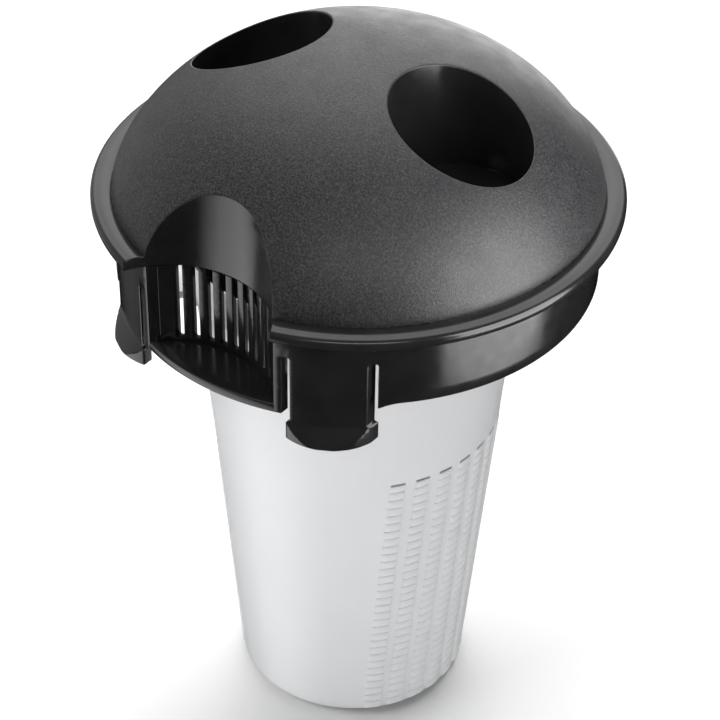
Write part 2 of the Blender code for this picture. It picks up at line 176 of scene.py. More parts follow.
def noise(mat, feature, detail=2.0, roughness=0.5, stretch=(1.0, 1.0, 1.0)):
    """Noise with features of the given size in millimetres, in the piece's own coordinates."""
    coords = node(mat, "ShaderNodeTexCoord")
    mapping = node(mat, "ShaderNodeMapping")
    mapping.inputs["Scale"].default_value = stretch
    link(mat, coords.outputs["Object"], mapping.inputs["Vector"])
    texture = node(mat, "ShaderNodeTexNoise", Scale=1.0 / (feature * MM), Detail=detail, Roughness=roughness)
    link(mat, mapping.outputs["Vector"], texture.inputs["Vector"])
    return texture.outputs["Fac"]


def spread(mat, source, low, high, from_low=0.3, from_high=0.7):
    """Maps a noise value to a range."""
    span = node(mat, "ShaderNodeMapRange")
    for key, value in (("From Min", from_low), ("From Max", from_high), ("To Min", low), ("To Max", high)):
        span.inputs[key].default_value = value
    link(mat, source, span.inputs["Value"])
    return span.outputs["Result"]


def tint(mat, source, dark, light, from_low=0.3, from_high=0.7):
    """Colours that follow a noise value."""
    ramp = node(mat, "ShaderNodeValToRGB")
    low, high = ramp.color_ramp.elements
    low.position, high.position = from_low, from_high
    low.color, high.color = (*dark, 1.0), (*light, 1.0)
    link(mat, source, ramp.inputs["Fac"])
    return ramp.outputs["Color"]


def bump(mat, source, height, strength, below=None):
    """Adds relief of the given height in millimetres, on top of an earlier bump."""
    made = node(mat, "ShaderNodeBump", Strength=strength, Distance=height * MM)
    link(mat, source, made.inputs["Height"])
    if below is not None:
        link(mat, below, made.inputs["Normal"])
    return made.outputs["Normal"]


def surface(mat, colour=None, roughness=None, normal=None):
    shader = mat.node_tree.nodes["Principled BSDF"]
    for source, key in ((colour, "Base Color"), (roughness, "Roughness"), (normal, "Normal")):
        if source is not None:
            link(mat, source, shader.inputs[key])
    return mat


def grained_plastic():
    """Spark-eroded moulding grain with a few brighter specks."""
    mat = new_material("look_grained_black", (0.030, 0.030, 0.032), 0.5, Specular_IOR_Level=0.5)
    speckle = tint(mat, noise(mat, 0.75, 3.0, 0.6), (0.011, 0.011, 0.012), (0.042, 0.042, 0.044), 0.40, 0.72)
    rough = spread(mat, noise(mat, 9.0, 3.0), 0.38, 0.48)
    relief = bump(mat, noise(mat, 0.6, 2.0, 0.6), 0.22, 0.55)
    relief = bump(mat, noise(mat, 1.5, 2.0), 0.12, 0.30, relief)
    return surface(mat, speckle, rough, relief)


def gloss_plastic():
    """Smooth moulding with slight sink waves, fine scratches and handling marks."""
    shade = 0.010
    mat = new_material("look_gloss_black", (shade, shade, shade * 1.06), 0.18, Specular_IOR_Level=0.5)
    tone = tint(mat, noise(mat, 14.0, 4.0), (shade * 0.8,) * 3, (shade * 1.35,) * 3)
    worn = spread(mat, noise(mat, 6.0, 5.0, 0.6), 0.13, 0.22)
    relief = bump(mat, noise(mat, 24.0, 0.0), 0.12, 0.10)
    relief = bump(mat, noise(mat, 0.5, 1.0), 0.002, 0.20, relief)
    return surface(mat, tone, worn, relief)


def milky_plastic():
    """Translucent natural plastic of the basket."""
    mat = new_material(
        "look_milky_white", (0.62, 0.63, 0.64), 0.32, Specular_IOR_Level=0.45, Subsurface_Weight=0.30,
        Subsurface_Radius=(0.004, 0.004, 0.0042), Subsurface_Scale=1.0,
    )
    tone = tint(mat, noise(mat, 30.0, 1.0), (0.61, 0.615, 0.625), (0.635, 0.64, 0.65), 0.1, 0.9)
    rough = spread(mat, noise(mat, 18.0, 1.0), 0.30, 0.38, 0.1, 0.9)
    return surface(mat, tone, rough, bump(mat, noise(mat, 30.0, 0.0), 0.15, 0.10))


def foam():
    """Closed-cell bead foam."""
    mat = new_material("look_foam_white", (0.80, 0.80, 0.77), 0.85, Specular_IOR_Level=0.3)
    beads = node(mat, "ShaderNodeTexVoronoi", Scale=1.0 / (3.2 * MM))
    coords = node(mat, "ShaderNodeTexCoord")
    link(mat, coords.outputs["Object"], beads.inputs["Vector"])
    tone = tint(mat, beads.outputs["Distance"], (0.84, 0.84, 0.82), (0.70, 0.70, 0.67), 0.3, 0.8)
    relief = bump(mat, beads.outputs["Distance"], -0.5, 0.5)
    return surface(mat, tone, None, bump(mat, noise(mat, 0.5, 2.0), 0.05, 0.3, relief))


def inner_grey():
    """Plain grey moulding of the float plate."""
    mat = new_material("look_inner_grey", (0.085, 0.086, 0.09), 0.42, Specular_IOR_Level=0.45)
    tone = tint(mat, noise(mat, 12.0, 4.0), (0.070, 0.071, 0.075), (0.105, 0.106, 0.11))
    rough = spread(mat, noise(mat, 4.0, 4.0), 0.34, 0.50)
    return surface(mat, tone, rough, bump(mat, noise(mat, 0.9, 3.0), 0.04, 0.3))


def steel():
    """Stainless steel with faint drawing lines."""
    mat = new_material("look_steel", (0.56, 0.56, 0.57), 0.28, Metallic=1.0)
    tone = tint(mat, noise(mat, 3.0, 4.0), (0.46, 0.46, 0.47), (0.62, 0.62, 0.63))
    rough = spread(mat, noise(mat, 1.2, 4.0), 0.20, 0.38)
    return surface(mat, tone, rough, bump(mat, noise(mat, 0.4, 2.0, 0.5, (1.0, 1.0, 8.0)), 0.01, 0.3))


def floor_material():
    mat = new_material("look_floor", (0.93, 0.93, 0.93), 0.75, Specular_IOR_Level=0.15)
    tone = tint(mat, noise(mat, 300.0, 2.0), (0.92, 0.92, 0.92), (0.94, 0.94, 0.94))
    return surface(mat, tone, None, bump(mat, noise(mat, 2.5, 3.0), 0.05, 0.15))


# Mesh building

class Shape:
    """Vertices in millimetres and faces, with a material index on each face."""

    def __init__(self):
        self.points = []
        self.faces = []
        self.slots = []

    def add(self, points):
        start = len(self.points)
        self.points.extend(Vector(p) for p in points)
        return list(range(start, len(self.points)))

    def face(self, ids, slot=0):
        self.faces.append(tuple(ids))
        self.slots.append(slot)

    def bridge(self, first, second, slot=0):
        """Quads between two closed rows of the same length."""
        count = len(first)
        for i in range(count):
            j = (i + 1) % count
            self.face((first[i], first[j], second[j], second[i]), slot)


def on_circle(radius, degrees, z=0.0):
    """A point at an angle in degrees from -Y towards +X."""
    angle = math.radians(degrees)
    return Vector((radius * math.sin(angle), -radius * math.cos(angle), z))


def resampled(points, spacing):
    """Closed outline with no edge longer than spacing."""
    out = []
    for i, start in enumerate(points):
        end = points[(i + 1) % len(points)]
        steps = max(1, math.ceil((end - start).length / spacing))
        out.extend(start.lerp(end, k / steps) for k in range(steps))
    return out


def rounded(corners, steps=4):
    """Closed outline from rows of x, y and the radius of an arc in place of that corner."""
    points = [Vector((x, y)) for x, y, _ in corners]
    out = []
    for i, corner in enumerate(points):
        radius = corners[i][2]
        if radius <= 0.0:
            out.append(corner.copy())
            continue
        before = corner + (points[i - 1] - corner).normalized() * radius
        after = corner + (points[(i + 1) % len(points)] - corner).normalized() * radius
        for k in range(steps + 1):
            t = k / steps
            out.append(before * (1 - t) ** 2 + corner * 2 * t * (1 - t) + after * t * t)
    return out


def inset(points, distances):
    """Closed anticlockwise outline moved inwards, by its own distance at each point."""
    out = []
    for i, here in enumerate(points):
        ahead = (points[(i + 1) % len(points)] - here).normalized()
        behind = (here - points[i - 1]).normalized()
        first, second = Vector((-behind.y, behind.x)), Vector((-ahead.y, ahead.x))
        middle = (first + second).normalized()
        out.append(here + middle * distances[i] / max(0.6, middle.dot(first)))
    return out


def triangulated(loops, inner_points):
    """Delaunay triangles inside closed loops: flat points, triangles, and the sources of each point."""
    points, edges = [], []
    for loop in loops:
        start = len(points)
        points += loop
        edges += [(start + i, start + (i + 1) % len(loop)) for i in range(len(loop))]
    flat, _, faces, origins, _, _ = delaunay_2d_cdt(points + list(inner_points), edges, [], 1, 1e-5)
    return flat, faces, origins


def grid_inside(outline, spacing_x, spacing_y):
    """Grid points that keep away from an outline."""
    tree = KDTree(len(outline))
    for i, p in enumerate(outline):
        tree.insert((p.x, p.y, 0.0), i)
    tree.balance()
    low_x, high_x = min(p.x for p in outline), max(p.x for p in outline)
    low_y, high_y = min(p.y for p in outline), max(p.y for p in outline)
    clear = 0.55 * min(spacing_x, spacing_y)
    for i in range(1, math.ceil((high_x - low_x) / spacing_x)):
        for j in range(1, math.ceil((high_y - low_y) / spacing_y)):
            p = Vector((low_x + i * spacing_x, low_y + j * spacing_y))
            if tree.find((p.x, p.y, 0.0))[2] > clear:
                yield p


def plate(shape, outline, place, thickness, edge, spacing, grid, sharp=()):
    """A closed plate with rounded edges. place(x, y, depth) bends the flat outline into its final form;
    sharp holds outline boxes (x0, y0, x1, y1) whose points keep a square edge."""
    points = resampled(outline, spacing)
    weights = [
        0.0 if any(a <= p.x <= c and b <= p.y <= d for a, b, c, d in sharp) else 1.0 for p in points
    ]
    loops = []
    for depth_share, inset_share in ((0.0, 1.0), (0.293, 0.293), (1.0, 0.0)):
        loops.append((depth_share * edge, inset(points, [w * inset_share * edge for w in weights])))
    rows = []
    flat, faces, origins = triangulated([loops[0][1]], grid_inside(loops[0][1], *grid))
    used = sorted({i for f in faces for i in f})
    for depth in (0.0, thickness):
        ids = dict(zip(used, shape.add(place(flat[i].x, flat[i].y, depth) for i in used)))
        for f in faces:
            ring = [ids[i] for i in f]
            shape.face(ring if depth == 0.0 else ring[::-1])
        found = {}
        for i in used:
            for origin in origins[i]:
                if origin < len(points):
                    found[origin] = ids[i]
        rows.append([found[i] for i in range(len(points))])
    between = [shape.add(place(p.x, p.y, depth) for p in loop) for depth, loop in loops[1:]]
    between += [shape.add(place(p.x, p.y, thickness - depth) for p in loop) for depth, loop in loops[:0:-1]]
    rims = [rows[0]] + between + [rows[1]]
    for first, second in zip(rims, rims[1:]):
        shape.bridge(second, first)


def lathe(shape, profile, segments, start=0.0, sweep=360.0):
    """A closed (radius, z) profile turned about Z, with end caps when it isn't a full turn."""
    full = sweep >= 360.0
    rows = []
    for i in range(segments if full else segments + 1):
        degrees = start + sweep * i / segments
        rows.append(shape.add(on_circle(r, degrees, HEAD_Z + z) for r, z in profile))
    for i in range(segments):
        shape.bridge(rows[i], rows[(i + 1) % len(rows)])
    if not full:
        shape.face(rows[0])
        shape.face(rows[-1][::-1])


def block(shape, low, high, degrees=0.0):
    """A box with rounded edges, turned about Z."""
    bm = bmesh.new()
    bmesh.ops.create_cube(bm, size=1.0)
    low, high = Vector(low), Vector(high)
    size = high - low
    middle = (low + high) / 2
    matrix = (
        Matrix.Rotation(math.radians(degrees), 4, "Z")
        @ Matrix.Translation(middle)
        @ Matrix.Diagonal((*size, 1.0))
    )
    bmesh.ops.transform(bm, matrix=matrix, verts=bm.verts)
    bmesh.ops.bevel(bm, geom=bm.edges[:], offset=RING_EDGE, segments=2, profile=0.5, affect="EDGES")
    bm.verts.index_update()
    ids = shape.add(v.co for v in bm.verts)
    for f in bm.faces:
        shape.face([ids[v.index] for v in f.verts])
    bm.free()


def rod(shape, radius, start, end, segments=32, edge=0.3):
    """A cylinder with chamfered ends between two points."""
    start, end = Vector(start), Vector(end)
    along = end - start
    turn = along.to_track_quat("Z", "Y")
    length = along.length
    angles = [2 * math.pi * i / segments for i in range(segments)]
    rows = []
    for r, h in ((radius - edge, 0.0), (radius, edge), (radius, length - edge), (radius - edge, length)):
        row = (start + turn @ Vector((r * math.cos(a), r * math.sin(a), h)) for a in angles)
        rows.append(shape.add(row))
    for first, second in zip(rows, rows[1:]):
        shape.bridge(first, second)
    shape.face(rows[0][::-1])
    shape.face(rows[-1])


def make_object(name, shape, materials, sharp=30.0):
    """Turns a shape into a smooth-shaded object in metres."""
    mesh = bpy.data.meshes.new(name)
    mesh.from_pydata([p * MM for p in shape.points], [], shape.faces)
    for polygon, slot in zip(mesh.polygons, shape.slots):
        polygon.material_index = slot
    bm = bmesh.new()
    bm.from_mesh(mesh)
    bmesh.ops.remove_doubles(bm, verts=bm.verts, dist=1e-7)
    bmesh.ops.recalc_face_normals(bm, faces=bm.faces)
    bm.to_mesh(mesh)
    bm.free()
    for mat in materials:
        mesh.materials.append(mat)
    mesh.shade_smooth()
    mesh.set_sharp_from_angle(angle=math.radians(sharp))
    obj = bpy.data.objects.new(name, mesh)
    bpy.context.scene.collection.objects.link(obj)
    return obj


def settle(obj, body, replaced):
    """Gives a piece its body and hides the CAD node it stands for."""
    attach(obj, body)
    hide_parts(replaced)


def cut(obj, cutter):
    """Takes the cutter out of a piece and deletes it."""
    modifier = obj.modifiers.new("cut", "BOOLEAN")
    modifier.operation = "DIFFERENCE"
    modifier.solver = "EXACT"
    modifier.object = cutter
    graph = bpy.context.evaluated_depsgraph_get()
    mesh = bpy.data.meshes.new_from_object(obj.evaluated_get(graph))
    obj.modifiers.clear()
    old = obj.data
    obj.data = mesh
    bpy.data.meshes.remove(old)
    bpy.data.objects.remove(cutter)


# Dome cover

def head_height(r):
    """Height of the dome, the groove beside the lip and the lip, over radius."""
    if r <= DOME_R:
        return DOME_BASE_Z + DOME_RISE * max(0.0, 1.0 - (r / DOME_R) ** DOME_POWER_R) ** (1.0 / DOME_POWER_Z)
    if r <= CREST_R:
        x = (CREST_R - r) / (CREST_R - DOME_R)
        return CREST_Z - (CREST_Z - LIP_INNER_Z) * x * x
    if r <= ROLL_R:
        x = (r - CREST_R) / (ROLL_R - CREST_R)
        return CREST_Z - (CREST_Z - ROLL_Z) * x * x
    x = min(1.0, (r - ROLL_R) / (LIP_R - ROLL_R))
    return ROLL_Z * (1.0 - x * x) ** 0.62


def well_centres():
    return [on_circle(WELL_DISTANCE, side * WELL_ANGLE).xy for side in (-1, 1)]


def screw_spots():
    return [on_circle(SCREW_DISTANCE, angle).xy for angle in SCREW_ANGLES]


def round_drop(distance, radius):
    """How far a rounded rim lies under the surface it was cut into."""
    if distance >= radius:
        return 0.0
    return radius - math.sqrt(max(0.0, radius * radius - (radius - max(0.0, distance)) ** 2))


def cover_height(p):
    """Top surface of the cover over a point, with its rims rounded."""
    z = head_height(min(LIP_R, p.length))
    z -= round_drop((p - BAY_CENTRE).length - BAY_R, RIM_ROUND)
    for centre in well_centres():
        z -= round_drop((p - centre).length - WELL_R, WELL_ROUND)
    return z


def cover_rings():
    """Radii that follow the dome and the lip closely, finest where the surface is steep."""
    dome_steps, lip_steps, roll_steps, gap = 76, 7, 9, 0.05
    radii = [DOME_R * math.sin(math.pi / 2 * i / dome_steps) for i in range(1, dome_steps - 1)]
    radii += [DOME_R, DOME_R + gap]
    radii += [DOME_R + gap + (ROLL_R - DOME_R - gap) * i / lip_steps for i in range(1, lip_steps + 1)]
    for i in range(1, roll_steps + 1):
        radii.append(ROLL_R + (LIP_R - ROLL_R) * math.sin(math.pi / 2 * i / roll_steps))
    return radii


def bay_cross(radius, bay_radius):
    """Angle from -Y at which a circle about the axis meets one about the bay's axis."""
    cosine = (radius**2 + BAY_DISTANCE**2 - bay_radius**2) / (2 * radius * BAY_DISTANCE)
    return math.degrees(math.acos(max(-1.0, min(1.0, cosine))))


def bay_angle(p):
    """Direction of a point from the bay's axis, in degrees from +Y towards +X."""
    towards = p - BAY_CENTRE
    return math.degrees(math.atan2(towards.x, towards.y))


def about_bay(radius, degrees):
    angle = math.radians(degrees)
    return BAY_CENTRE + radius * Vector((math.sin(angle), math.cos(angle)))


def bay_row(radius, radii):
    """Points of a circle about the bay's axis inside the lip, where it meets each ring and evenly between."""
    limit = bay_angle(on_circle(LIP_R, bay_cross(LIP_R, radius)).xy)
    angles = {-limit, limit}
    nearest = BAY_DISTANCE - radius
    for r in radii:
        if max(FINE_R, nearest + 1.0) < r < LIP_R:
            angle = bay_angle(on_circle(r, bay_cross(r, radius)).xy)
            angles |= {-angle, angle}
    inner = min(a for a in angles if a > 0)
    count = 64
    angles |= {inner * (2 * i / count - 1) for i in range(1, count)}
    return [about_bay(radius, a) for a in sorted(angles)]


def well_row(centre, radius):
    """Evenly spaced points of a circle about a finger well's axis."""
    angles = (2 * math.pi * i / WELL_STEPS for i in range(WELL_STEPS))
    return [centre + radius * Vector((math.sin(a), math.cos(a))) for a in angles]


def cover_plan():
    """The cover in plan: its outline and both wells as loops, and the points between them."""
    radii = cover_rings()
    corner = bay_cross(LIP_R, BAY_R) + 0.25
    step = 360.0 / LIP_STEPS
    rim = [on_circle(LIP_R, step * i).xy for i in range(LIP_STEPS) if corner < step * i < 360.0 - corner]
    # Anticlockwise seen from above: the bay's wall from right to left closes the outer arc
    loops = [rim + bay_row(BAY_R, radii)]
    loops += [well_row(centre, WELL_R) for centre in well_centres()]
    inner = [Vector((0.0, 0.0))]
    for degrees in (18.0, 36.0, 54.0, 72.0, 90.0):
        share = 1.0 - math.cos(math.radians(degrees))
        inner += [p for p in bay_row(BAY_R + RIM_ROUND * share, radii) if p.length < LIP_R - 0.02]
        for centre in well_centres():
            inner += well_row(centre, WELL_R + WELL_ROUND * share)
    keep_out = [(BAY_CENTRE, BAY_R + RIM_ROUND)] + [(c, WELL_R + WELL_ROUND) for c in well_centres()]
    spacing, clear = 1.7, 0.45
    for r in radii[:-1]:
        steps = LIP_STEPS if r > FINE_R else max(8, round(2 * math.pi * r / spacing))
        for i in range(steps):
            p = on_circle(r, 360.0 * i / steps).xy
            if all((p - c).length > reach + clear for c, reach in keep_out):
                inner.append(p)
    return loops, inner


def make_cover(materials):
    """Grained dome, smooth lip, both finger wells and the bay's upper wall as one moulding."""
    grain_slot, gloss_slot = 0, 1
    shape = Shape()
    loops, inner = cover_plan()
    flat, faces, origins = triangulated(loops, inner)
    used = sorted({i for f in faces for i in f})
    top = shape.add((flat[i].x, flat[i].y, HEAD_Z + cover_height(flat[i])) for i in used)
    ids = dict(zip(used, top))
    found = {origin: ids[i] for i in used for origin in origins[i]}
    for f in faces:
        middle = sum((flat[i] for i in f), Vector((0.0, 0.0))) / 3
        if all((middle - c).length >= WELL_R for c in well_centres()):
            shape.face([ids[i] for i in f], gloss_slot if middle.length > DOME_R else grain_slot)
    # The bay's wall and the lip's side, down to a flat underside at the spigot's bottom
    outline = loops[0]
    above = [found[i] for i in range(len(outline))]
    for r, z in LIP_SIDE:
        row = []
        for p in outline:
            share = r / LIP_R if p.length > LIP_R - 0.01 else 1.0
            row.append((p.x * share, p.y * share, HEAD_Z + z))
        row = shape.add(row)
        shape.bridge(row, above, gloss_slot)
        above = row
    shape.face(above[::-1], gloss_slot)
    # The wells, each with a rounded foot
    start = len(outline)
    foot = ((WELL_R, WELL_FLOOR_Z + 1.2), (WELL_R - 0.35, WELL_FLOOR_Z + 0.35), (WELL_R - 1.2, WELL_FLOOR_Z))
    for centre, loop in zip(well_centres(), loops[1:]):
        rows = [[found[start + i] for i in range(len(loop))]]
        start += len(loop)
        for r, z in foot:
            rows.append(shape.add((*(centre + (p - centre) * r / WELL_R), HEAD_Z + z) for p in loop))
        for first, second in zip(rows, rows[1:]):
            shape.bridge(first, second, gloss_slot)
        shape.face(rows[-1], gloss_slot)
    obj = make_object("dome_cover_look", shape, materials)
    hollow_cover(obj)
    obj.data.shade_smooth()
    obj.data.set_sharp_from_angle(angle=math.radians(32.0))
    return obj


def column(name, radius, centre, low, high, segments=96):
    """An upright cylinder to cut with."""
    shape = Shape()
    rod(shape, radius, (*centre, HEAD_Z + low), (*centre, HEAD_Z + high), segments, 0.0001)
    return make_object(name, shape, [])


def turned(name, profile, segments):
    """A turned shape to cut with."""
    shape = Shape()
    lathe(shape, profile, segments)
    return make_object(name, shape, [])


def hollow_cover(obj):
    """Cuts the channel under the lip, the float chamber and the screw holes."""
    past, seat_z = 2.0, LIP_BOTTOM_Z + 0.03
    under = [
        (LIP_R + past, SPIGOT_BOTTOM_Z - past), (LIP_R + past, seat_z), (98.2, seat_z), (98.2, -0.3),
        (97.2, 0.6), (93.4, 1.0), (92.4, 0.95), (SPIGOT_R[1], 0.95), (SPIGOT_R[1], SPIGOT_BOTTOM_Z - past),
    ]
    channel = turned("under_lip", under[::-1], LIP_STEPS)
    cut(channel, column("lip_end", BAY_R + LIP_END, BAY_CENTRE, seat_z, 10.0, 144))
    cut(obj, channel)
    # The chamber follows the dome at an even wall, and leaves walls round the bay, wells and screws
    inner_r, inner_rise = DOME_R - DOME_WALL, DOME_RISE - DOME_WALL
    axis, steps, spigot_top = 0.02, 20, 9.0
    chamber = [(axis, DOME_BASE_Z + inner_rise)]
    for i in range(1, steps):
        r = inner_r * math.sin(math.pi / 2 * i / steps)
        z = DOME_BASE_Z + inner_rise * (1.0 - (r / inner_r) ** DOME_POWER_R) ** (1.0 / DOME_POWER_Z)
        if r < SPIGOT_R[0]:
            chamber.append((r, z))
    chamber += [(SPIGOT_R[0], spigot_top), (SPIGOT_R[0], SPIGOT_BOTTOM_Z - past)]
    chamber.append((axis, SPIGOT_BOTTOM_Z - past))
    hollow = turned("chamber", chamber[::-1], 128)
    below, over = -12.0, 70.0
    cut(hollow, column("chamber_bay", BAY_R + BAY_WALL, BAY_CENTRE, below, over))
    for centre in well_centres():
        cut(hollow, column("chamber_well", WELL_R + WELL_WALL, centre, WELL_FLOOR_Z - WELL_WALL, over))
    for spot in screw_spots():
        cut(hollow, column("chamber_boss", 4.0, spot, 2.0, 50.0, 32))
    cut(obj, hollow)
    cut(obj, column("spigot_relief", BAY_R + BAY_WALL + 2.0, BAY_CENTRE, below, LIP_BOTTOM_Z))
    for spot in screw_spots():
        cut(obj, column("pilot", 1.7, spot, -1.0, 14.0, 24))


# Base ring

def skirt_angle(x):
    return math.degrees(math.asin(x / SKIRT_OUT))


def inner_angle(degrees):
    """Where a line through the skirt's wall comes out inside, given where it starts outside."""
    side = 1.0 if degrees <= 180.0 else -1.0
    outside = degrees if degrees <= 180.0 else 360.0 - degrees
    stops = [(bay_cross(SKIRT_OUT, r), bay_cross(SKIRT_IN, r)) for r in (BAY_R, NOTCH_R)]
    for x in CUT_X:
        stops.append((skirt_angle(x), math.degrees(math.asin(x / SKIRT_IN))))
    stops += [(70.0, 70.0), (180.0, 180.0)]
    for (a, b), (c, d) in zip(stops, stops[1:]):
        if outside <= c:
            share = (outside - a) / (c - a)
            return side * (b + share * (d - b)) + (0.0 if side > 0 else 360.0)
    return degrees


def skirt_place(s, z, depth):
    """Wraps the unrolled skirt round its axis."""
    degrees = math.degrees(s / SKIRT_OUT)
    outside = on_circle(SKIRT_OUT, degrees)
    inside = on_circle(SKIRT_IN, inner_angle(degrees))
    p = outside.lerp(inside, depth / (SKIRT_OUT - SKIRT_IN))
    p.z = HEAD_Z + z
    return p


def skirt_outline():
    """The skirt unrolled from the bay's right edge round the back to its left edge."""
    per_degree = math.radians(1.0) * SKIRT_OUT
    bay = bay_cross(SKIRT_OUT, BAY_R)
    near, far = (skirt_angle(x) for x in CUT_X)
    clip_near, clip_far = (skirt_angle(x) for x in CLIP_X)
    # Angle, height and corner radius along the right half's lower edge
    right = [
        (bay, FLOOR_BOTTOM_Z, 0.0), (near, FLOOR_BOTTOM_Z, 0.5), (near, CLIP_ROOT_Z, 0.9),
        (clip_near, CLIP_ROOT_Z, 0.0), (clip_far, CLIP_ROOT_Z, 0.0), (far, CLIP_ROOT_Z, 0.9),
        (far, CORNER_BOTTOM_Z, 0.5),
    ]
    span, steps = CORNER_END_ANGLE - far, 8
    for i in range(1, steps + 1):
        share = i / steps
        drop = (CORNER_BOTTOM_Z - SKIRT_BOTTOM_Z) * (1.0 - share) ** 2.2
        right.append((far + 0.3 + span * share, SKIRT_BOTTOM_Z + drop, 0.0))
    left = [(360.0 - a, z, r) for a, z, r in right[::-1]]
    notch = bay_cross(SKIRT_OUT, NOTCH_R)
    low_z = LIP_BOTTOM_Z - 0.1
    top = [
        (360.0 - bay, low_z, 0.0), (360.0 - notch, low_z, 0.0), (360.0 - notch, SKIRT_TOP_Z, 0.3),
        (notch, SKIRT_TOP_Z, 0.3), (notch, low_z, 0.0), (bay, low_z, 0.0),
    ]
    return rounded([(a * per_degree, z, r) for a, z, r in right + left + top])


def floor_outline():
    """The bay's floor in plan: a lens between the grille and the skirt's outer face."""
    steps = 48
    reach = BAY_R + GRILLE_WALL + 0.4
    front_r = SKIRT_OUT - 0.05
    end = bay_cross(front_r, reach)
    front = [on_circle(front_r, end * (2 * i / steps - 1)).xy for i in range(steps + 1)]
    limit = bay_angle(front[-1])
    return front + [about_bay(reach, limit * (1 - 2 * i / steps)) for i in range(1, steps)]


def make_ring(material):
    """Skirt, posts, bay floor, basket seat on its fins, screw bosses and hinge ears."""
    shape = Shape()
    per_degree = math.radians(1.0) * SKIRT_OUT
    near, far = (skirt_angle(x) * per_degree for x in CLIP_X)
    # The skirt keeps square edges where the clips grow out of it
    roots = []
    for a, b in ((near, far), (360.0 * per_degree - far, 360.0 * per_degree - near)):
        roots.append((a - 0.01, CLIP_ROOT_Z - 0.2, b + 0.01, CLIP_ROOT_Z + 0.2))
    plate(
        shape, skirt_outline(), skirt_place, SKIRT_OUT - SKIRT_IN, RING_EDGE, 1.5, (1.5, 6.0), roots,
    )
    plate(
        shape, floor_outline(), lambda x, y, depth: Vector((x, y, HEAD_Z + FLOOR_Z - depth)),
        FLOOR_Z - FLOOR_BOTTOM_Z, RING_EDGE, 2.5, (5.0, 5.0),
    )
    seat = [
        (62.3, -14.3), (69.2, -14.3), (69.5, -14.0), (69.5, -11.9), (69.2, -11.6), (62.3, -11.6),
        (62.0, -11.9), (62.0, -14.0),
    ]
    lathe(shape, seat, 160)
    fin_low, fin_high = (-1.2, -89.0, HEAD_Z - 14.2), (1.2, -63.0, HEAD_Z - 6.6)
    for degrees in (-130.0, -90.0, -55.0, 55.0, 90.0, 130.0, 180.0):
        block(shape, fin_low, fin_high, degrees)
    for spot in screw_spots():
        rod(shape, 4.5, (*spot, HEAD_Z - 14.1), (*spot, HEAD_Z - 1.0), 40)
    for ear_x in ((-10.2, -7.6), (7.6, 10.2)):
        block(shape, (ear_x[0], 76.8, HEAD_Z - 26.2), (ear_x[1], 89.0, HEAD_Z - 6.6))
    return make_object("base_ring_look", shape, [material])


# Inlet grille

def make_grille(material):
    """Curved wall with slots that run up to the cover and straight back, as the mould draws."""
    reach = bay_cross(GRILLE_END_R, BAY_R)
    limit = math.asin(GRILLE_END_R * math.sin(math.radians(reach)) / BAY_R) * BAY_R
    low = FLOOR_Z + 0.05
    corners = [
        (-limit, GRILLE_TOP_Z, 0.0), (-limit, low, 0.0), (limit, low, 0.0), (limit, GRILLE_TOP_Z, 0.0),
    ]
    for i in reversed(range(GRILLE_SLOTS)):
        middle = (i - (GRILLE_SLOTS - 1) / 2) * GRILLE_PITCH
        sides = (middle - GRILLE_SLOT_W / 2, middle + GRILLE_SLOT_W / 2)
        a, b = (math.asin(x / BAY_R) * BAY_R for x in sides)
        corners += [
            (b, GRILLE_TOP_Z, 0.0), (b, GRILLE_SLOT_BOTTOM_Z, 0.6), (a, GRILLE_SLOT_BOTTOM_Z, 0.6),
            (a, GRILLE_TOP_Z, 0.0),
        ]

    def place(s, z, depth):
        x = BAY_R * math.sin(s / BAY_R)
        r = BAY_R + depth
        # The ends widen towards the back so that they follow the skirt's wall
        x_end = GRILLE_END_R * math.sin(math.radians(bay_cross(GRILLE_END_R, r)))
        at_end = max(0.0, (abs(s) / limit - 0.93) / 0.07)
        x += math.copysign(at_end * (x_end - BAY_R * math.sin(limit / BAY_R)), s)
        return Vector((x, -BAY_DISTANCE + math.sqrt(r * r - x * x), HEAD_Z + z))

    shape = Shape()
    plate(shape, rounded(corners, 3), place, GRILLE_WALL, 0.25, 1.0, (1.0, 5.0))
    return make_object("inlet_grille_look", shape, [material])


# Latch clips

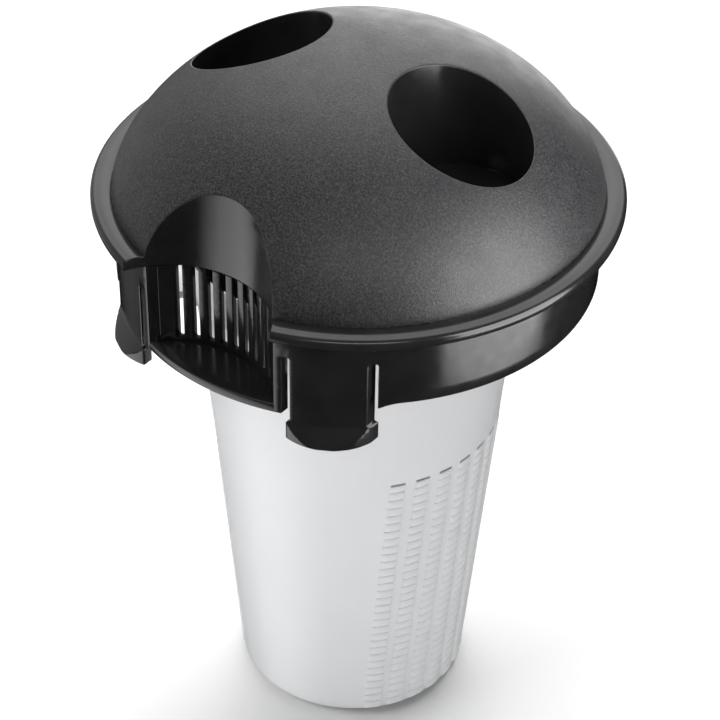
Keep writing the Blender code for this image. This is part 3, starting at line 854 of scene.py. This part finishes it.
def make_clip(side, label, material):
    """Sprung strip of the skirt that flares out into a rounded thumb grip."""
    centre = on_circle(DOME_R + FLARE_OUT - FLARE_R, CLIP_ANGLE)
    root = CLIP_ROOT_Z - 0.04
    corners = [
        (FLARE_X[0], CLIP_BOTTOM_Z, 0.6), (FLARE_X[1], CLIP_BOTTOM_Z, 0.6), (FLARE_X[1], FLARE_Z - 0.5, 0.3),
        (CLIP_X[1], FLARE_Z + 0.5, 0.3), (CLIP_X[1], root, 0.0), (CLIP_X[0], root, 0.0),
        (CLIP_X[0], FLARE_Z + 0.5, 0.3), (FLARE_X[0], FLARE_Z - 0.5, 0.3),
    ]

    def place(x, z, depth):
        flare = max(0.0, min(1.0, (FLARE_Z - z) / (FLARE_Z - CLIP_BOTTOM_Z)))
        r = SKIRT_OUT + FLARE_OUT * flare
        outside = -math.sqrt(r * r - x * x)
        if z < FLARE_Z:
            half = FLARE_R**2 - (x - centre.x) ** 2
            outside = max(outside, centre.y - math.sqrt(max(0.0, half)))
        inside = -math.sqrt(SKIRT_IN**2 - x * x)
        y = outside + (inside - outside) * depth / (SKIRT_OUT - SKIRT_IN)
        return Vector((side * x, y, HEAD_Z + z))

    shape = Shape()
    square_root = (CLIP_X[0] - 0.1, root - 0.1, CLIP_X[1] + 0.1, root + 0.1)
    plate(
        shape, rounded(corners), place, SKIRT_OUT - SKIRT_IN, 0.35, 0.7, (0.7, 0.5), [square_root],
    )
    hook = [(88.4, -29.9), (86.5, -29.9), (86.3, -30.1), (86.3, -31.2), (86.5, -31.4), (88.4, -32.6)]
    hook_sweep = 13.2
    lathe(shape, hook, 24, side * CLIP_ANGLE - hook_sweep / 2, hook_sweep)
    return make_object(f"latch_clip_{label}_look", shape, [material])


# Basket

# One upright line of the basket's mesh: the flank's middle and the column's offset at the top slot in
# degrees, how far columns spread downwards, which side of the pad it is on and how far outside the pad's
# edge in mm, its share of the pad's rise, and whether a slot starts at it.
Spoke = namedtuple("Spoke", "centre offset spread side outside share opens")
PAD_LINES = (
    (-1.0, 0.45, 0.0, False), (-1.0, 0.0, 0.45, True), (-1.0, -0.5, 1.0, True), (0.0, 0.0, 1.0, True),
    (1.0, -0.5, 1.0, True), (1.0, 0.0, 0.45, False), (1.0, 0.45, 0.0, False),
)


def basket_r(z):
    step = STEP if z > STEP_Z else 0.0
    return STEP_R + step + TAPER * (z - STEP_Z)


def spoke_angle(spoke, z):
    low = max(0.0, min(1.0, (FIRST_SLOT - z) / (ROWS * ROW_PITCH)))
    pad = PAD_W + PAD_W_GROWTH * low
    wide = spoke.side * (pad / 2 + spoke.outside)
    return spoke.centre + spoke.offset * (1.0 + spoke.spread * low) + math.degrees(wide / basket_r(z))


def basket_spokes():
    """Upright lines of the pads on both flanks and of the plain wall between them, in order."""
    spokes = []
    for centre in (90.0, 270.0):
        for i in range(COLUMNS):
            offset = (i - (COLUMNS - 1) / 2) * COLUMN_PITCH
            spokes += [Spoke(centre, offset, COLUMN_SPREAD, *line) for line in PAD_LINES]
    for centre in (0.0, 180.0):
        for i in range(-11, 12):
            spokes.append(Spoke(centre, i * 4.0, -COLUMN_SPREAD * 0.8, 0.0, 0.0, 0.0, False))
    return sorted(spokes, key=lambda spoke: spoke_angle(spoke, FIRST_SLOT) % 360.0)


def basket_lines():
    """Heights of the basket's mesh from the top down: (height, share of the pad's rise, slot starts here)."""
    lines = [(z, 0.0, False) for z in (BASKET_TOP, 200.0, 180.0, 160.0, 145.0, 137.5)]
    for row in range(ROWS):
        z = FIRST_SLOT - row * ROW_PITCH
        if row == 0:
            bottom = z - FIRST_SLOT_H
            lines += [(z, 0.0, True), (bottom, 0.25, False), (bottom - 0.1, 0.3, False)]
        else:
            bottom = z - SLOT_H
            lines += [(z, 0.7, True), (bottom, 0.25, False)]
        lines += [(bottom - 0.9, 0.9, False), (z - ROW_PITCH + 0.6, 1.0, False)]
    lines.append((FIRST_SLOT - ROWS * ROW_PITCH, 0.0, False))
    return lines


def make_basket(material):
    """Tapered cup with a shallow step and columns of fine louvred slots on both flanks."""
    shape = Shape()
    lines, spokes = basket_lines(), basket_spokes()
    outer, inner = [], []
    for z, rise, _ in lines:
        r = basket_r(max(z, FOOT_ROUND))
        angles = [spoke_angle(s, z) for s in spokes]
        outer.append(shape.add(
            on_circle(r + PAD_OUT * rise * s.share, a, z) for s, a in zip(spokes, angles)
        ))
        inner.append(shape.add(on_circle(r - BASKET_WALL, a, max(z, BASKET_WALL + 0.3)) for a in angles))
    count = len(spokes)
    for k in range(len(lines) - 1):
        slotted = lines[k][2]
        for i in range(count):
            j = (i + 1) % count
            if slotted and spokes[i].opens:
                continue
            shape.face((outer[k + 1][i], outer[k + 1][j], outer[k][j], outer[k][i]))
            shape.face((inner[k][i], inner[k][j], inner[k + 1][j], inner[k + 1][i]))
        if not slotted:
            continue
        # Walls of the slots
        for i in range(count):
            j = (i + 1) % count
            if spokes[i].opens:
                shape.face((outer[k][i], outer[k][j], inner[k][j], inner[k][i]))
                shape.face((outer[k + 1][j], outer[k + 1][i], inner[k + 1][i], inner[k + 1][j]))
            if spokes[i].opens != spokes[i - 1].opens:
                shape.face((outer[k][i], outer[k + 1][i], inner[k + 1][i], inner[k][i]))
    shape.bridge(outer[0], inner[0])
    # The rounded foot outside, and the floor inside
    foot, steps = [], 6
    for i in range(1, steps + 1):
        angle = math.pi / 2 * i / steps
        foot.append((FOOT_R - FOOT_ROUND + FOOT_ROUND * math.cos(angle), FOOT_ROUND * (1 - math.sin(angle))))
    rows = [outer[-1]] + [shape.add(on_circle(r, spoke_angle(s, z), z) for s in spokes) for r, z in foot]
    for first, second in zip(rows, rows[1:]):
        shape.bridge(second, first)
    shape.face(rows[-1])
    floor = ((FOOT_R - 2.6, 4.2), (FOOT_R - 4.2, 2.6), (FOOT_R - 6.6, BASKET_WALL))
    rows = [inner[-1]] + [shape.add(on_circle(r, spoke_angle(s, z), z) for s in spokes) for r, z in floor]
    for first, second in zip(rows, rows[1:]):
        shape.bridge(first, second)
    shape.face(rows[-1][::-1])
    lug = [(63.0, -21.3), (66.8, -21.3), (67.1, -21.0), (67.1, -18.9), (66.8, -18.6), (63.0, -18.6)]
    lug_sweep = 34.0
    for middle in (60.0, 180.0, 300.0):
        lathe(shape, lug, 24, middle - lug_sweep / 2, lug_sweep)
    return make_object("basket_look", shape, [material], 40.0)


# Assembly

grained = grained_plastic()
gloss = gloss_plastic()
milky = milky_plastic()
grey = inner_grey()
metal = steel()
bead_foam = foam()

cover = make_cover([grained, gloss])
settle(cover, "head", "dome_cover")
ring = make_ring(gloss)
settle(ring, "head", "base_ring")
grille = make_grille(gloss)
settle(grille, "head", "inlet_grille")
mouldings = [cover, ring, grille]
for clip_side, clip_label in ((-1, "left"), (1, "right")):
    clip = make_clip(clip_side, clip_label, gloss)
    settle(clip, f"clip_{clip_label}", f"latch_clip_{clip_label}")
    mouldings.append(clip)
cup = make_basket(milky)
settle(cup, "basket", "basket")

kept = {"float_plate": grey, "basket_collar": milky, "hinge_pin": metal, "float_foam_left": bead_foam,
        "float_foam_right": bead_foam}
for index in range(1, 5):
    kept[f"ring_screw_{index}"] = metal
for name, mat in kept.items():
    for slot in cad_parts[name].material_slots:
        slot.material = mat


# Stage

STAGE_STEPS = 96
FLOOR_RADII = (400.0, 1200.0, 6000.0)
BACKDROP_R = 5500.0
BACKDROP_HEIGHTS = (0.0, 2500.0, 5000.0)
CAMERA_ANGLE = 37.0
CAMERA_DISTANCE = 0.746612
CAMERA_ABOVE_HEAD = 0.501463
CAMERA_PITCH, CAMERA_YAW, CAMERA_ROLL = 0.665, 0.002, 0.016
HEAD = Vector((0.0, 0.0, HEAD_Z * MM))

# Studio walls as soft glows: azimuth from the back towards the right, elevation, the angles from its
# middle within which it is full and beyond which it is gone, and strength
GLOWS = (
    (0.0, 90.0, 30.0, 100.0, 0.16),
    (2.0, 46.0, 13.0, 44.0, 2.1),
    (10.0, -4.0, 12.0, 23.0, 3.0),
    (-50.0, 0.0, 18.0, 42.0, 0.48),
    (-106.0, -38.0, 12.0, 33.0, 2.1),
)


def stage_sheet(name, rings, filled):
    """A sheet through circles of the given radius and height, filled in or open in the middle."""
    shape = Shape()
    rows = []
    for radius, z in rings:
        rows.append(shape.add(on_circle(radius, 360.0 * i / STAGE_STEPS, z) for i in range(STAGE_STEPS)))
    for first, second in zip(rows, rows[1:]):
        shape.bridge(first, second)
    if filled:
        shape.face(rows[0])
    obj = make_object(name, shape, [floor_material()])
    obj.visible_glossy = False
    return obj


def make_stage():
    """A pale floor, and far behind it a pale studio wall that takes no part in the lighting."""
    stage_sheet("floor", [(radius, 0.0) for radius in FLOOR_RADII], True)
    wall = stage_sheet("backdrop", [(BACKDROP_R, z) for z in BACKDROP_HEIGHTS], False)
    wall.visible_diffuse = wall.visible_shadow = False


def group_of(name, objects):
    group = bpy.data.collections.new(name)
    for obj in objects:
        group.objects.link(obj)
    return group


def new_light(name, kind, power, place, receivers):
    """A light, which can be kept to some pieces."""
    data = bpy.data.lights.new(name, kind)
    data.energy = power
    light = bpy.data.objects.new(name, data)
    bpy.context.scene.collection.objects.link(light)
    light.location = place
    if receivers is not None:
        light.light_linking.receiver_collection = group_of(f"{name}_receivers", receivers)
    return light


def softbox(name, place, target, size, power, glossy=False, receivers=None, blockers=None):
    """A rectangular area light. Where glossy is set it shows in reflections, and where blockers are given
    only those shade it."""
    light = new_light(name, "AREA", power, place, receivers)
    light.data.shape = "RECTANGLE"
    light.data.size, light.data.size_y = size
    light.rotation_euler = (Vector(target) - Vector(place)).to_track_quat("-Z", "Y").to_euler()
    light.visible_camera = False
    light.visible_glossy = glossy
    if blockers is not None:
        light.light_linking.blocker_collection = group_of(f"{name}_blockers", blockers)


def studio(side, ahead, up):
    """A point in metres seen from the camera's side: to the right, towards the camera, up from the floor."""
    turn = math.radians(CAMERA_ANGLE)
    right = Vector((math.cos(turn), math.sin(turn), 0.0))
    front = Vector((math.sin(turn), -math.cos(turn), 0.0))
    return right * side + front * ahead + Vector((0.0, 0.0, up))


def make_lights():
    """Soft light from all round, with panels for the reflections in the mouldings and for the whites."""
    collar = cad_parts["basket_collar"]
    whites = [cup, collar]
    softbox("overhead", studio(0.2, -0.5, 1.5), studio(0.0, 0.0, 0.0), (1.2, 1.2), 18.0)
    softbox("left_fill", studio(-1.2, 0.2, 0.9), studio(0.0, 0.0, 0.1), (1.0, 1.0), 12.0)
    softbox(
        "right_panel", studio(0.33, 0.18, 0.18), studio(0.0, 0.0, 0.18), (0.36, 0.44), 2.3,
        glossy=True, receivers=mouldings[1:],
    )
    softbox(
        "dome_panel", studio(0.36, 0.22, 0.25), studio(0.0, 0.0, 0.2), (0.36, 0.56), 4.4,
        glossy=True, receivers=[cover],
    )
    softbox(
        "front_strip", studio(0.0, 1.3, HEAD.z + 1.17), HEAD, (0.9, 0.16), 4.0,
        glossy=True, receivers=mouldings,
    )
    softbox(
        "cup_right", studio(0.7, 1.0, 0.06), studio(0.0, 0.0, 0.1), (0.8, 0.5), 11.5, receivers=whites,
    )
    softbox(
        "cup_left", studio(-0.9, 0.8, 0.2), studio(0.0, 0.0, 0.1), (0.8, 0.6), 4.5, receivers=whites,
    )
    softbox(
        "collar_fill", studio(-0.85, -0.53, 0.6), HEAD, (0.4, 0.4), 25.0,
        receivers=[collar], blockers=[collar],
    )
    # Light that has passed into the cup
    cup_glow = new_light("cup_glow", "POINT", 0.05, (0.0, 0.0, 0.09), whites)
    cup_glow.data.shadow_soft_size = 0.03


def make_camera():
    """The photograph's long lens, 38 degrees above the head and to the right of the bay."""
    data = bpy.data.cameras.new("camera")
    data.lens = 120.0
    data.sensor_width = 36.0
    data.clip_start, data.clip_end = 0.05, 50.0
    camera = bpy.data.objects.new("camera", data)
    bpy.context.scene.collection.objects.link(camera)
    pitch, yaw, roll = CAMERA_PITCH, CAMERA_YAW, CAMERA_ROLL
    ahead = Vector((math.sin(yaw) * math.cos(pitch), math.cos(yaw) * math.cos(pitch), -math.sin(pitch)))
    right = Vector((math.cos(yaw), -math.sin(yaw), 0.0))
    up = right.cross(ahead)
    across = math.cos(roll) * right + math.sin(roll) * up
    above = -math.sin(roll) * right + math.cos(roll) * up
    basis = Matrix((across, above, -ahead)).transposed().to_4x4()
    turn = Matrix.Rotation(math.radians(CAMERA_ANGLE), 4, "Z")
    place = Matrix.Translation((0.0, -CAMERA_DISTANCE, HEAD.z + CAMERA_ABOVE_HEAD))
    camera.matrix_world = turn @ place @ basis
    bpy.context.scene.camera = camera


def make_world():
    """The glows, added up over the direction of view."""
    world = bpy.data.worlds.new("studio")
    world.use_nodes = True
    background = world.node_tree.nodes["Background"]
    background.inputs["Color"].default_value = (1.0, 1.0, 1.0, 1.0)
    coords = node(world, "ShaderNodeTexCoord")
    total = None
    for azimuth, elevation, inner, outer, strength in GLOWS:
        a, e = math.radians(azimuth), math.radians(elevation)
        facing = node(world, "ShaderNodeVectorMath", Operation="DOT_PRODUCT")
        link(world, coords.outputs["Generated"], facing.inputs[0])
        facing.inputs[1].default_value = studio(
            math.sin(a) * math.cos(e), -math.cos(a) * math.cos(e), math.sin(e)
        )
        cosines = (math.cos(math.radians(outer)), math.cos(math.radians(inner)))
        glow = spread(world, facing.outputs["Value"], 0.0, strength, *cosines)
        if total is not None:
            adder = node(world, "ShaderNodeMath", Operation="ADD")
            link(world, total, adder.inputs[0])
            link(world, glow, adder.inputs[1])
            glow = adder.outputs["Value"]
        total = glow
    link(world, total, background.inputs["Strength"])
    bpy.context.scene.world = world


make_stage()
make_camera()
make_world()
make_lights()
bpy.context.scene.view_settings.view_transform = "Standard"
